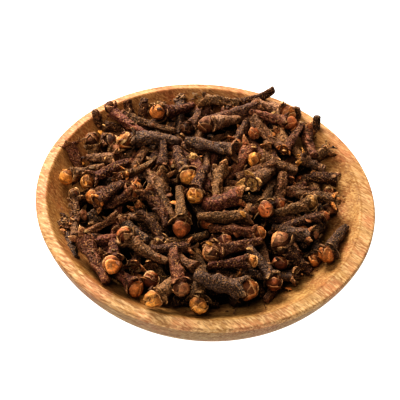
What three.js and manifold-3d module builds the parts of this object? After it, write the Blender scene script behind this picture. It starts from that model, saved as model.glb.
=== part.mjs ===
// A shallow turned wooden bowl heaped with whole dried cloves.
// Millimetres, +Z up. The origin is the middle of the bowl's flat foot.
// The bowl and the heap are two solids that keep a thin gap between them.

import * as THREE from "three";
import { mergeVertices } from "three/addons/utils/BufferGeometryUtils.js";
import Module from "manifold-3d";

const wasm = await Module();
wasm.setup();

// ---- Bowl ----

const RIM_RADIUS = 45;            // the widest circle
const WIDEST_HEIGHT = 20.3;       // height of the widest circle
const BAND_DROP = 1.3;            // the upright edge band ends in a sharp arris this far below it
const WALL_RADIUS = 29;           // the outer wall is an arc of this radius
const WALL_LEAN = 16.5;           // its lean from upright at the arris, degrees
const EDGE_ROUND = 0.9;           // the edge between the band and the rim's top is rounded over
const RIM_RISE = 0.45;            // the rim's inner edge stands this much above the widest circle
const HOLLOW_RADIUS = 42.2;       // the hollow's edge
const HOLLOW_DEPTH = 15.5;        // from the rim's inner edge down to the middle of the hollow
const HOLLOW_SHIFT = -0.55;       // the hollow was turned a little off the outside's centre
const HOLLOW_OVAL = 0.983;        // and has dried a little narrower along X
const TURNING_FACETS = 48;        // facets round the bowl
const WALL_RINGS = 7;             // and along the outer wall, the rounded edge and the hollow
const EDGE_RINGS = 3;
const HOLLOW_RINGS = 8;
const SPACE_MARGIN = 4;           // the space for the heap reaches this far out over the rim
const SPACE_TOP = 60;             // and up to here
const SPACE_RINGS = 9;

// ---- Heap ----

const GAP = 0.3;                  // between the heap and the wood
const PEAK_HEIGHT = 27;           // the mound's top above the foot
const EDGE_RISE = 2.4;            // the mound's surface above the wood where it meets the wall
const MOUND_POWER = 2.2;          // how flat the mound's top is
const EDGE_RADII = [37.5, 42.5, 42, 42.5, 37, 40.5, 41, 37.5];   // where it meets the wall, every 45 degrees
const EDGE_MARGIN = 1.5;          // the middles of loose pieces stay this far inside that edge
const FLOOR_TOP = 20;             // the pieces lie on a dome with this top
const FLOOR_RADIUS = 32;          // which meets the hollow at this radius
const PRESS = 0.3;                // pieces press this far into each other
const HEAP_SEED = 5150;
const PROBES = 30;                // places tried before the lowest of them takes the next piece
const PROBE_RADIUS = 1;

// Pieces are laid until so many in a row find no place at least this deep under the mound's surface, or
// would rise too far past it. The first lot lies under the pieces on top, the last fills between them.
const FIRST_LOT = { depth: 5.8, patience: 60, rise: -3.9 };
const LAST_LOT = { depth: 4.2, patience: 80, rise: -1.5 };

// Small random moves, each kept if the piece comes to lie lower: their number, slide and turn in degrees.
const LOOSE_MOVES = { steps: 40, slide: 1.2, turn: 12 };
const SMALL_MOVES = { steps: 20, slide: 0.3, turn: 3.5 };

// The solid is a core with the pieces that show fused on.
const CORE_DEPTH = 4;             // the core comes up to this far below the mound's surface
const CORE_REACH = 0.92;          // and this share of the way to its edge
const CORE_THICKNESS = 0.5;       // at its edge
const CORE_FACETS = 20;
const CORE_RINGS = 4;
const SHOWN_BEADS = { whole: 4, open: 4, stalk: 4, ball: 1 };   // a piece with fewer in view is left out

// ---- Cloves, for a middling girth ----

const TAIL_RADIUS = 1.0;          // the stem's thin end
const NECK_RADIUS = 1.65;         // the stem just under the lobes
const BALL_RADIUS = 2.3;          // the bud's
const BALL_FLAT = 0.6;            // its top's radius as a share of that
const BALL_RISE = 2.6;            // its widest place above the neck
const SEPAL_TIP = { radius: 2.9, rise: 1.7 };     // the four lobes round a whole bud, from the neck
const SEPAL_NOTCH = { radius: 2, rise: 0.8 };     // and the notches between them
const LOBE_TIP_RADIUS = 3.1;      // the spread lobes of a clove that has lost its bud
const LOBE_NOTCH = { radius: 1.9, rise: 1.1 };
const CUP = { radius: 1.1, rise: 0.9 };           // the cup inside them
const HEAD_LENGTH = { whole: 4.9, open: 2.5, stalk: 0, ball: 4.6 };
const LOBES = 4;
const CLOVE_SIDES = 5;            // sides of a stem or a bud
const SIDES_SWELL = 1.1;          // widens a five-sided section to the size of the round one

// The usual length, and how far a piece's own is from it as a share.
const USUAL_LENGTH = { whole: 15.6, open: 13.2, stalk: 10.5, ball: 4.6 };
const LENGTH_SPREAD = { whole: 0.17, open: 0.17, stalk: 0.17, ball: 0.08 };
const USUAL_GIRTH = 0.9;
const GIRTH_SPREAD = 0.17;
const USUAL_TILT = 45;            // the steepest that a loose piece starts at, degrees
const KIND_SHARES = [["whole", 0.39], ["open", 0.45], ["stalk", 0.13], ["ball", 0.03]];

// While the heap is filled a row of balls stands for each piece: the stem's, and one for the head.
const STEM_BEADS = 6;
const HEAD_BEAD = { whole: { radius: 2.4, drop: 2.4 }, open: { radius: 2.3, drop: 1.2 } };

// Pieces that stand or lean at the heap's edge: kind, middle X, Y and Z, heading and tilt in degrees, length.
const STANDING = [
  ["open", -36, 10, 18, 120, 35, 14],
  ["whole", -31, 13, 17.5, 115, 40, 15],
  ["stalk", -31, 25, 18, -25, -65, 11],
  ["stalk", -23, 29, 18.5, -60, -45, 11],
  ["stalk", -20, 29, 19.5, -90, -50, 11],
  ["stalk", 11, 40, 21, -170, -25, 12],
  ["stalk", 23, 34, 18, -90, -70, 11],
  ["stalk", 28.5, 29.5, 18.5, -90, -65, 12],
  ["open", 28, 19, 19.5, 40, 15, 13],
  ["open", -34, -19, 17.5, 110, -5, 13],
];

// Pieces on top, in the order in which they are laid: kind, middle X and Y, heading, tilt, length, girth.
const SHOWN = [
  ["whole", -34, 4, -155, -15, 13, 1],
  ["whole", -26, 0, -160, -20, 15, 1],
  ["whole", -27, 4, -155, -20, 15, 1],
  ["open", 1, 35, 180, 0, 12, 1],
  ["whole", 15, 35, -35, 0, 14, 1.05],
  ["open", 5, 31, 15, -5, 17, 1],
  ["whole", -12, 29, -140, 10, 15, 1],
  ["whole", 2, 25, -150, 10, 14, 1],
  ["stalk", 16, 24, 140, 0, 15, 1],
  ["whole", 16, 29.5, -25, 10, 14, 0.95],
  ["open", -27, 11, -20, 20, 11, 1],
  ["whole", -17, 17, -170, -5, 17, 1.1],
  ["open", 0, 15, -20, 0, 16, 1.1],
  ["whole", 16, 13, 175, 10, 14, 1],
  ["open", 27, 16, 165, 10, 9, 1],
  ["whole", -9, 6, -65, 15, 15, 1.1],
  ["open", -2, 4, 120, 10, 13, 1],
  ["open", -11, -6, 110, 0, 16, 1.05],
  ["whole", -22, -6, 30, 30, 14, 1],
  ["open", -25, -5, -125, -10, 11, 1],
  ["open", -13, -10, 125, 0, 13, 1],
  ["whole", -6, -11, -75, -5, 17, 1.1],
  ["whole", -3, -2, -105, 10, 14, 1],
  ["open", 5, -11, 20, 0, 15, 1.05],
  ["open", 5, -7, 20, 0, 12, 1.25],
  ["ball", 5, -18, 0, 0, 4.6, 1],
  ["whole", 8, -20, -140, 0, 17, 1.15],
  ["whole", 15, -4, -90, 20, 14, 1],
  ["whole", 23, -3, 25, -5, 13, 1],
  ["open", 13, 5, -115, 15, 13, 1.2],
  ["stalk", 26, 5, -170, 10, 9, 1.1],
  ["open", 29, 2, -15, -15, 12, 1],
  ["whole", 23, -18, 160, 10, 14, 1.15],
  ["whole", 33, -11, -125, 5, 16, 1.05],
  ["open", -27.2, -26, 113, 5, 17, 1.1],
  ["whole", -19.2, -31.6, -50, -10, 13, 1],
  ["whole", -21.6, -27, -85, -5, 12, 1.15],
  ["whole", -16, -24, 145, 0, 16, 1],
  ["whole", -8, -36.2, -128, -15, 15, 1.05],
  ["whole", 0.8, -35.9, -88, -20, 14, 1.15],
  ["open", 12, -25, -165, -5, 9, 1],
  ["whole", 5.8, -33, 0, 0, 17, 1.25],
  ["whole", -6, -32, -90, -15, 14, 1],
  ["whole", 15.8, -23.6, -50, -5, 14, 1],
  ["whole", 8.2, -25.3, 3, 10, 13, 0.85],
];

const radians = THREE.MathUtils.degToRad;

// The inside of the bowl is part of one sphere.
const hollowSphere = (HOLLOW_RADIUS ** 2 + HOLLOW_DEPTH ** 2) / (2 * HOLLOW_DEPTH);
const rimHeight = WIDEST_HEIGHT + RIM_RISE;
const hollowCentre = rimHeight - HOLLOW_DEPTH + hollowSphere;

// Height at which a ball of this radius rests in the hollow, that far from the hollow's axis.
function hollowHeight(distance, ballRadius) {
  return hollowCentre - Math.sqrt(Math.max(0, (hollowSphere - ballRadius) ** 2 - distance ** 2));
}

// The dome that the pieces lie on is part of a sphere too.
const floorRise = FLOOR_TOP - hollowHeight(FLOOR_RADIUS, GAP);
const floorSphere = (FLOOR_RADIUS ** 2 + floorRise ** 2) / (2 * floorRise);

// ---- Solids ----

function solidFrom(geometry) {
  const bare = geometry.clone();
  bare.deleteAttribute("normal");
  bare.deleteAttribute("uv");
  const merged = mergeVertices(bare, 1e-4);
  return new wasm.Manifold(new wasm.Mesh({
    numProp: 3,
    vertProperties: new Float32Array(merged.attributes.position.array),
    triVerts: new Uint32Array(merged.index.array),
  }));
}

function geometryFrom(solid) {
  const mesh = solid.getMesh();
  const geometry = new THREE.BufferGeometry();
  geometry.setAttribute("position", new THREE.BufferAttribute(mesh.vertProperties, 3));
  geometry.setIndex(new THREE.BufferAttribute(mesh.triVerts, 1));
  geometry.computeVertexNormals();
  return geometry;
}

// ---- Bowl ----

// The space that the heap may take: inside the hollow, less the gap, and all that is above the rim.
function spaceInside() {
  const reach = HOLLOW_RADIUS + SPACE_MARGIN;
  const rings = [];
  for (let i = 1; i <= SPACE_RINGS; i += 1) rings.push(hollowRing(reach * i / SPACE_RINGS, GAP));
  rings.push(hollowRing(reach, GAP).map((point) => point.setZ(SPACE_TOP)));
  return solidFrom(skin(rings));
}

// A level ring on the hollow's wall, that far from its axis.
function hollowRing(distance, clearance) {
  return ring(TURNING_FACETS, distance, hollowHeight(distance, clearance)).map((point) => (
    point.setX(point.x * HOLLOW_OVAL + HOLLOW_SHIFT)
  ));
}

// From the foot up to the arris.
function wallRings() {
  const arrisHeight = WIDEST_HEIGHT - BAND_DROP;
  const topLean = radians(WALL_LEAN);
  const footLean = Math.asin(Math.sin(topLean) + arrisHeight / WALL_RADIUS);
  return Array.from({ length: WALL_RINGS + 1 }, (_, i) => {
    const lean = footLean + (topLean - footLean) * i / WALL_RINGS;
    const radius = RIM_RADIUS - WALL_RADIUS * (Math.cos(topLean) - Math.cos(lean));
    const height = arrisHeight - WALL_RADIUS * (Math.sin(lean) - Math.sin(topLean));
    return ring(TURNING_FACETS, radius, height);
  });
}

// The edge band's rounded top, from upright to level.
function edgeRings() {
  return Array.from({ length: EDGE_RINGS + 1 }, (_, i) => {
    const turn = Math.PI / 2 * i / EDGE_RINGS;
    return ring(
      TURNING_FACETS,
      RIM_RADIUS - EDGE_ROUND * (1 - Math.cos(turn)),
      WIDEST_HEIGHT - EDGE_ROUND * (1 - Math.sin(turn)) / 2,
    );
  });
}

// From the rim's inner edge to the middle of the hollow.
function hollowRings() {
  return Array.from({ length: HOLLOW_RINGS }, (_, i) => (
    hollowRing(HOLLOW_RADIUS * (HOLLOW_RINGS - i) / HOLLOW_RINGS, 0)
  ));
}

function bowlGeometry() {
  return geometryFrom(solidFrom(skin([...wallRings(), ...edgeRings(), ...hollowRings()])));
}

// ---- A clove's shape ----

function ring(sides, radius, height, turn = 0) {
  const points = [];
  for (let i = 0; i < sides; i += 1) {
    const angle = turn + 2 * Math.PI * i / sides;
    points.push(new THREE.Vector3(radius * Math.cos(angle), radius * Math.sin(angle), height));
  }
  return points;
}

// Four pointed lobes with notches between them.
function lobeRing(tipRadius, tipHeight, notchRadius, notchHeight) {
  const tips = ring(LOBES, tipRadius, tipHeight);
  const notches = ring(LOBES, notchRadius, notchHeight, Math.PI / LOBES);
  return tips.flatMap((tip, i) => [tip, notches[i]]);
}

// A closed skin over rings from bottom to top. Neighbouring rings may differ in their number of points.
function skin(rings) {
  const positions = rings.flat().flatMap((point) => point.toArray());
  const starts = [];
  let total = 0;
  for (const points of rings) {
    starts.push(total);
    total += points.length;
  }
  const faces = [];
  for (let i = 1; i < rings[0].length - 1; i += 1) faces.push(0, i + 1, i);
  for (let r = 0; r < rings.length - 1; r += 1) {
    const [low, high] = [rings[r].length, rings[r + 1].length];
    const lower = (i) => starts[r] + i % low;
    const upper = (i) => starts[r + 1] + i % high;
    let [i, j] = [0, 0];
    while (i < low || j < high) {
      if (j >= high || (i < low && (i + 1) * high <= (j + 1) * low)) {
        faces.push(lower(i), lower(i + 1), upper(j));
        i += 1;
      } else {
        faces.push(lower(i), upper(j + 1), upper(j));
        j += 1;
      }
    }
  }
  const last = starts[rings.length - 1];
  for (let i = 1; i < rings[rings.length - 1].length - 1; i += 1) faces.push(last, last + i, last + i + 1);
  const geometry = new THREE.BufferGeometry();
  geometry.setAttribute("position", new THREE.Float32BufferAttribute(positions, 3));
  geometry.setIndex(faces);
  return geometry;
}

// A round section of a clove, as wide on average as the true circle.
function section(radius, height) {
  return ring(CLOVE_SIDES, radius * SIDES_SWELL, height);
}

function cloveGeometry({ kind, length, girth }) {
  const [bottom, top] = [-length / 2, length / 2];
  const neck = top - HEAD_LENGTH[kind] * girth;
  const stem = [section(TAIL_RADIUS * girth, bottom), section(NECK_RADIUS * girth, neck)];
  if (kind === "stalk") return skin(stem);
  if (kind === "ball") {
    return skin([
      section(BALL_RADIUS * BALL_FLAT * girth, bottom),
      section(BALL_RADIUS * girth, 0),
      section(BALL_RADIUS * BALL_FLAT * girth, top),
    ]);
  }
  if (kind === "open") {
    const notchHeight = neck + LOBE_NOTCH.rise * girth;
    return skin([
      ...stem,
      lobeRing(LOBE_TIP_RADIUS * girth, top, LOBE_NOTCH.radius * girth, notchHeight),
      section(CUP.radius * girth, neck + CUP.rise * girth),
    ]);
  }
  const tipHeight = neck + SEPAL_TIP.rise * girth;
  const notchHeight = neck + SEPAL_NOTCH.rise * girth;
  return skin([
    ...stem,
    lobeRing(SEPAL_TIP.radius * girth, tipHeight, SEPAL_NOTCH.radius * girth, notchHeight),
    section(BALL_RADIUS * girth, neck + BALL_RISE * girth),
    section(BALL_RADIUS * BALL_FLAT * girth, top),
  ]);
}

// ---- Filling the bowl ----

// Park and Miller's random numbers.
let randomState = HEAP_SEED;
function random() {
  randomState = (randomState * 16807) % 2147483647;
  return randomState / 2147483647;
}

function spread(middle, half) {
  return middle + half * (2 * random() - 1);
}

// The beads of a piece as [distance along it from its middle, radius].
function beadsOf({ kind, length, girth }) {
  if (kind === "ball") return [[0, BALL_RADIUS * girth]];
  const beads = [];
  const start = -length / 2 + TAIL_RADIUS * girth;
  const end = length / 2 - Math.max(HEAD_LENGTH[kind], NECK_RADIUS) * girth;
  for (let i = 0; i < STEM_BEADS; i += 1) {
    const share = i / (STEM_BEADS - 1);
    beads.push([
      start + (end - start) * share,
      (TAIL_RADIUS + (NECK_RADIUS - TAIL_RADIUS) * share) * girth,
    ]);
  }
  const head = HEAD_BEAD[kind];
  if (head) beads.push([length / 2 - head.drop * girth, head.radius * girth]);
  return beads;
}

// What lies in the bowl so far, as beads. The first is the dome under the pieces.
const lying = [{ x: 0, y: 0, z: FLOOR_TOP - floorSphere, radius: floorSphere }];

// The lowest height at which a ball can lie here.
function ballHeight(x, y, radius, among) {
  const distance = Math.hypot((x - HOLLOW_SHIFT) / HOLLOW_OVAL, y);
  let height = hollowHeight(distance, GAP + radius);
  for (const bead of among) {
    const reach = bead.radius + radius - PRESS;
    const square = reach * reach - (x - bead.x) * (x - bead.x) - (y - bead.y) * (y - bead.y);
    if (square > 0) height = Math.max(height, bead.z + Math.sqrt(square));
  }
  return height;
}

// The lowest height of a piece's middle at which it lies on what is below it.
function pieceHeight(beads, pose, among) {
  const level = Math.cos(pose.tilt);
  const alongX = level * Math.cos(pose.heading);
  const alongY = level * Math.sin(pose.heading);
  const alongZ = Math.sin(pose.tilt);
  let height = -Infinity;
  for (const [along, radius] of beads) {
    const x = pose.x + along * alongX;
    const y = pose.y + along * alongY;
    height = Math.max(height, ballHeight(x, y, radius, among) - along * alongZ);
  }
  return height;
}

const heap = [];

function lay(piece, pose, height) {
  const level = Math.cos(pose.tilt);
  const laid = { ...piece, ...pose, z: height };
  for (const [along, radius] of beadsOf(piece)) {
    lying.push({
      piece: laid,
      x: pose.x + along * level * Math.cos(pose.heading),
      y: pose.y + along * level * Math.sin(pose.heading),
      z: height + along * Math.sin(pose.tilt),
      radius,
    });
  }
  heap.push(laid);
}

// Lets a piece slide and turn a little from where it starts, to where it lies lower.
function settle(piece, start, moves) {
  const beads = beadsOf(piece);
  const reach = piece.length / 2 + BALL_RADIUS + moves.slide * moves.steps / 4;
  const near = lying.filter((bead) => (
    Math.hypot(bead.x - start.x, bead.y - start.y) < bead.radius + reach
  ));
  let pose = start;
  let height = pieceHeight(beads, pose, near);
  for (let i = 0; i < moves.steps; i += 1) {
    const next = {
      x: spread(pose.x, moves.slide),
      y: spread(pose.y, moves.slide),
      heading: spread(pose.heading, radians(moves.turn)),
      tilt: spread(pose.tilt, radians(moves.turn)),
    };
    const nextHeight = pieceHeight(beads, next, near);
    if (nextHeight < height) {
      pose = next;
      height = nextHeight;
    }
  }
  return { pose, height };
}

// How far the mound reaches in this direction.
function edgeRadius(angle) {
  const count = EDGE_RADII.length;
  const place = ((angle / (2 * Math.PI)) * count + 2 * count) % count;
  const before = Math.floor(place);
  const share = place - before;
  return EDGE_RADII[before] * (1 - share) + EDGE_RADII[(before + 1) % count] * share;
}

function moundHeight(x, y) {
  const edge = edgeRadius(Math.atan2(y, x));
  const foot = hollowHeight(edge, 0) + EDGE_RISE;
  const share = Math.min(1, Math.hypot(x, y) / edge);
  return foot + (PEAK_HEIGHT - foot) * (1 - share ** MOUND_POWER);
}

function drawKind() {
  let left = random();
  for (const [kind, share] of KIND_SHARES) {
    if (left < share) return kind;
    left -= share;
  }
  return KIND_SHARES[0][0];
}

function drawPiece() {
  const kind = drawKind();
  return {
    kind,
    length: USUAL_LENGTH[kind] * spread(1, LENGTH_SPREAD[kind]),
    girth: spread(USUAL_GIRTH, GIRTH_SPREAD),
  };
}

// The deepest of some random places, measured from the mound's surface down to what lies there.
function lowPlace() {
  let best = { deep: -Infinity };
  for (let i = 0; i < PROBES; i += 1) {
    const angle = 2 * Math.PI * random();
    const distance = (edgeRadius(angle) - EDGE_MARGIN) * Math.sqrt(random());
    const x = distance * Math.cos(angle);
    const y = distance * Math.sin(angle);
    const deep = moundHeight(x, y) - ballHeight(x, y, PROBE_RADIUS, lying);
    if (deep > best.deep) best = { x, y, deep };
  }
  return best;
}

// Lays loose pieces where the heap is low.
function fill(lot) {
  let misses = 0;
  while (misses < lot.patience) {
    const place = lowPlace();
    const piece = drawPiece();
    const start = {
      x: place.x,
      y: place.y,
      heading: 2 * Math.PI * random(),
      tilt: spread(0, radians(USUAL_TILT)),
    };
    const { pose, height } = settle(piece, start, LOOSE_MOVES);
    const top = height + Math.abs(Math.sin(pose.tilt)) * piece.length / 2;
    if (place.deep > lot.depth && top - moundHeight(pose.x, pose.y) < lot.rise) {
      lay(piece, pose, height);
      misses = 0;
    } else {
      misses += 1;
    }
  }
}

function layStanding() {
  for (const [kind, x, y, z, heading, tilt, length] of STANDING) {
    lay({ kind, length, girth: 1 }, { x, y, heading: radians(heading), tilt: radians(tilt) }, z);
  }
}

function layShown() {
  for (const [kind, x, y, heading, tilt, length, girth] of SHOWN) {
    const start = { x, y, heading: radians(heading), tilt: radians(tilt) };
    const piece = { kind, length, girth };
    const { pose, height } = settle(piece, start, SMALL_MOVES);
    lay(piece, pose, height);
  }
}

// ---- The heap as one solid ----

// A level share of the way out from the middle to the core's edge, at the height that the rule gives.
function coreRing(share, heightAt) {
  return Array.from({ length: CORE_FACETS }, (_, i) => {
    const angle = 2 * Math.PI * i / CORE_FACETS;
    const distance = CORE_REACH * edgeRadius(angle) * share;
    const [x, y] = [distance * Math.cos(angle), distance * Math.sin(angle)];
    return new THREE.Vector3(x, y, heightAt(x, y));
  });
}

function coreSolid() {
  const below = (x, y) => hollowHeight(Math.hypot((x - HOLLOW_SHIFT) / HOLLOW_OVAL, y), GAP);
  const above = (x, y) => Math.max(moundHeight(x, y) - CORE_DEPTH, below(x, y) + CORE_THICKNESS);
  const rings = [];
  for (let i = 1; i <= CORE_RINGS; i += 1) rings.push(coreRing(i / CORE_RINGS, below));
  for (let i = CORE_RINGS; i >= 1; i -= 1) rings.push(coreRing(i / CORE_RINGS, above));
  return solidFrom(skin(rings));
}

function pieceSolid(piece) {
  const geometry = cloveGeometry(piece);
  geometry.rotateY(Math.PI / 2 - piece.tilt).rotateZ(piece.heading);
  geometry.translate(piece.x, piece.y, piece.z);
  return solidFrom(geometry);
}

// How many of a piece's beads can be seen from above.
function beadsInView(piece) {
  const own = lying.filter((bead) => bead.piece === piece);
  return own.filter((bead) => !lying.some((other) => (
    other.piece !== piece && other.z > bead.z
    && Math.hypot(other.x - bead.x, other.y - bead.y) < other.radius
  ))).length;
}

// Scraps that fusing leaves loose are dropped.
function heapGeometry() {
  const shown = heap.filter((piece) => beadsInView(piece) >= SHOWN_BEADS[piece.kind]);
  const joined = wasm.Manifold.union([coreSolid(), ...shown.map(pieceSolid)]);
  const parts = joined.intersect(spaceInside()).decompose();
  parts.sort((a, b) => b.volume() - a.volume());
  return geometryFrom(parts[0]);
}

layStanding();
fill(FIRST_LOT);
layShown();
fill(LAST_LOT);

const group = new THREE.Group();
const bowl = new THREE.Mesh(
  bowlGeometry(),
  new THREE.MeshStandardMaterial({ color: 0xd6a060, roughness: 0.55, metalness: 0 }),
);
bowl.name = "bowl";
const cloves = new THREE.Mesh(
  heapGeometry(),
  new THREE.MeshStandardMaterial({ color: 0x5a3524, roughness: 0.8, metalness: 0 }),
);
cloves.name = "cloves";
group.add(bowl, cloves);

export default group;
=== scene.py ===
"""A shallow turned wooden bowl heaped with whole dried cloves.

Lengths are millimetres until a mesh is made in metres. The heap is laid by the same rule and random draws as
the solid model's, so each clove lies where its solid does.
"""

from math import asin, atan2, cos, hypot, pi, radians, sin, sqrt

import bpy
import numpy as np
from mathutils import Matrix, Vector


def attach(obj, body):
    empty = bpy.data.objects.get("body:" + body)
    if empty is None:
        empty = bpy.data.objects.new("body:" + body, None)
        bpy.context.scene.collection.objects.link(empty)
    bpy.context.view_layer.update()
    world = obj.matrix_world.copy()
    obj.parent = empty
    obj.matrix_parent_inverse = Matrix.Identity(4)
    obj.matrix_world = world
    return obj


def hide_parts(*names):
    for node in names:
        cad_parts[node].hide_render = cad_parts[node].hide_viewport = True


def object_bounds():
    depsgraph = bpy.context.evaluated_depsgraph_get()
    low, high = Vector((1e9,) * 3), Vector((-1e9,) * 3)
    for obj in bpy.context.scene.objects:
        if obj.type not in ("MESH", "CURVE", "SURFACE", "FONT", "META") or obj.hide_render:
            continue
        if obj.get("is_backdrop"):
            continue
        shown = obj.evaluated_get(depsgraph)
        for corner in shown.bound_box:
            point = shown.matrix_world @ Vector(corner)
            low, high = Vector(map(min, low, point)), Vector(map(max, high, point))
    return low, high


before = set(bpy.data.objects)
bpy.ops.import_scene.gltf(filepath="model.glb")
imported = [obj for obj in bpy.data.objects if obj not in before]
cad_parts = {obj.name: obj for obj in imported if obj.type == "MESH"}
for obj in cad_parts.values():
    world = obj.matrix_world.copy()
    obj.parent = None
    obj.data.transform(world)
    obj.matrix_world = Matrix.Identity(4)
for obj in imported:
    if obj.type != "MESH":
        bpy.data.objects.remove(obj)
cad_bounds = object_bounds()

MM = 0.001

# ---- The photograph's view ----

FRAME_PIXELS = 400
FOCAL_PIXELS = 1509.3
SENSOR_MM = 36
DISTANCE = 400  # from the middle of the rim
ELEVATION = 45.84  # degrees
ROLL = 5.7  # the picture leans this far clockwise
RIM_PIXEL = (206.4, 196.9)  # where the middle of the rim is seen

# ---- Bowl, as in the solid model ----

RIM_RADIUS = 45  # the widest circle
WIDEST_HEIGHT = 20.3
BAND_DROP = 1.3  # down the edge band to the sharp arris
WALL_RADIUS = 29  # of the outer wall's arc
WALL_LEAN = 16.5  # from upright at the arris, degrees
EDGE_ROUND = 0.9
RIM_RISE = 0.45  # of the rim's inner edge
HOLLOW_RADIUS = 42.2
HOLLOW_DEPTH = 15.5  # from the rim's inner edge
HOLLOW_SHIFT = -0.55  # off the outside's centre
HOLLOW_OVAL = 0.983  # and narrower along X

# ---- Heap, as in the solid model ----

GAP = 0.3  # between the heap and the wood
PEAK_HEIGHT = 27  # of the mound
EDGE_RISE = 2.4  # above the wood where it meets the wall
MOUND_POWER = 2.2  # how flat its top is
EDGE_RADII = [37.5, 42.5, 42, 42.5, 37, 40.5, 41, 37.5]  # of the mound, every 45 degrees
EDGE_MARGIN = 1.5  # loose pieces start this far inside
FLOOR_TOP = 20  # the pieces lie on a dome with this top
FLOOR_RADIUS = 32  # up to this radius
PRESS = 0.3  # into each other
HEAP_SEED = 5150
PROBES = 30  # the lowest of them takes a piece
PROBE_RADIUS = 1
# Pieces are laid until so many in a row find no place this deep, or rise too far.
FIRST_LOT = {"depth": 5.8, "patience": 60, "rise": -3.9}
LAST_LOT = {"depth": 4.2, "patience": 80, "rise": -1.5}
# Random moves, each kept if the piece comes to lie lower. The turn is in degrees.
LOOSE_MOVES = {"steps": 40, "slide": 1.2, "turn": 12}
SMALL_MOVES = {"steps": 20, "slide": 0.3, "turn": 3.5}
TAIL_RADIUS = 1.0  # for a middling girth
NECK_RADIUS = 1.65
BALL_RADIUS = 2.3
HEAD_LENGTH = {"whole": 4.9, "open": 2.5, "stalk": 0, "ball": 4.6}
USUAL_LENGTH = {"whole": 15.6, "open": 13.2, "stalk": 10.5, "ball": 4.6}
LENGTH_SPREAD = {"whole": 0.17, "open": 0.17, "stalk": 0.17, "ball": 0.08}
USUAL_GIRTH = 0.9
GIRTH_SPREAD = 0.17
USUAL_TILT = 45  # degrees
KIND_SHARES = [("whole", 0.39), ("open", 0.45), ("stalk", 0.13), ("ball", 0.03)]
# A row of balls stands for each piece: the stem's, and one for the head.
STEM_BEADS = 6
HEAD_BEAD = {"whole": {"radius": 2.4, "drop": 2.4}, "open": {"radius": 2.3, "drop": 1.2}}

# Pieces at the heap's edge: kind, middle X, Y and Z, heading and tilt in degrees, length.
STANDING = [
    ("open", -36, 10, 18, 120, 35, 14),
    ("whole", -31, 13, 17.5, 115, 40, 15),
    ("stalk", -31, 25, 18, -25, -65, 11),
    ("stalk", -23, 29, 18.5, -60, -45, 11),
    ("stalk", -20, 29, 19.5, -90, -50, 11),
    ("stalk", 11, 40, 21, -170, -25, 12),
    ("stalk", 23, 34, 18, -90, -70, 11),
    ("stalk", 28.5, 29.5, 18.5, -90, -65, 12),
    ("open", 28, 19, 19.5, 40, 15, 13),
    ("open", -34, -19, 17.5, 110, -5, 13),
]
STANDING_TONE = "dull"

# Pieces on top: kind, middle X and Y, heading, tilt, length, girth and the bud's tone.
SHOWN = [
    ("whole", -34, 4, -155, -15, 13, 1, "amber"),
    ("whole", -26, 0, -160, -20, 15, 1, "orange"),
    ("whole", -27, 4, -155, -20, 15, 1, "amber"),
    ("open", 1, 35, 180, 0, 12, 1, "dull"),
    ("whole", 15, 35, -35, 0, 14, 1.05, "orange"),
    ("open", 5, 31, 15, -5, 17, 1, "dull"),
    ("whole", -12, 29, -140, 10, 15, 1, "orange"),
    ("whole", 2, 25, -150, 10, 14, 1, "dull"),
    ("stalk", 16, 24, 140, 0, 15, 1, "dull"),
    ("whole", 16, 29.5, -25, 10, 14, 0.95, "rust"),
    ("open", -27, 11, -20, 20, 11, 1, "dull"),
    ("whole", -17, 17, -170, -5, 17, 1.1, "orange"),
    ("open", 0, 15, -20, 0, 16, 1.1, "dull"),
    ("whole", 16, 13, 175, 10, 14, 1, "amber"),
    ("open", 27, 16, 165, 10, 9, 1, "amber"),
    ("whole", -9, 6, -65, 15, 15, 1.1, "amber"),
    ("open", -2, 4, 120, 10, 13, 1, "straw"),
    ("open", -11, -6, 110, 0, 16, 1.05, "dull"),
    ("whole", -22, -6, 30, 30, 14, 1, "orange"),
    ("open", -25, -5, -125, -10, 11, 1, "orange"),
    ("open", -13, -10, 125, 0, 13, 1, "dull"),
    ("whole", -6, -11, -75, -5, 17, 1.1, "rust"),
    ("whole", -3, -2, -105, 10, 14, 1, "amber"),
    ("open", 5, -11, 20, 0, 15, 1.05, "dull"),
    ("open", 5, -7, 20, 0, 12, 1.25, "rust"),
    ("ball", 5, -18, 0, 0, 4.6, 1, "rust"),
    ("whole", 8, -20, -140, 0, 17, 1.15, "pink"),
    ("whole", 15, -4, -90, 20, 14, 1, "rust"),
    ("whole", 23, -3, 25, -5, 13, 1, "straw"),
    ("open", 13, 5, -115, 15, 13, 1.2, "straw"),
    ("stalk", 26, 5, -170, 10, 9, 1.1, "dull"),
    ("open", 29, 2, -15, -15, 12, 1, "orange"),
    ("whole", 23, -18, 160, 10, 14, 1.15, "pink"),
    ("whole", 33, -11, -125, 5, 16, 1.05, "orange"),
    ("open", -27.2, -26, 113, 5, 17, 1.1, "dull"),
    ("whole", -19.2, -31.6, -50, -10, 13, 1, "orange"),
    ("whole", -21.6, -27, -85, -5, 12, 1.15, "orange"),
    ("whole", -16, -24, 145, 0, 16, 1, "rust"),
    ("whole", -8, -36.2, -128, -15, 15, 1.05, "amber"),
    ("whole", 0.8, -35.9, -88, -20, 14, 1.15, "amber"),
    ("open", 12, -25, -165, -5, 9, 1, "orange"),
    ("whole", 5.8, -33, 0, 0, 17, 1.25, "orange"),
    ("whole", -6, -32, -90, -15, 14, 1, "pink"),
    ("whole", 15.8, -23.6, -50, -5, 14, 1, "rust"),
    ("whole", 8.2, -25.3, 3, 10, 13, 0.85, "amber"),
]

# ---- Colours ----

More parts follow.
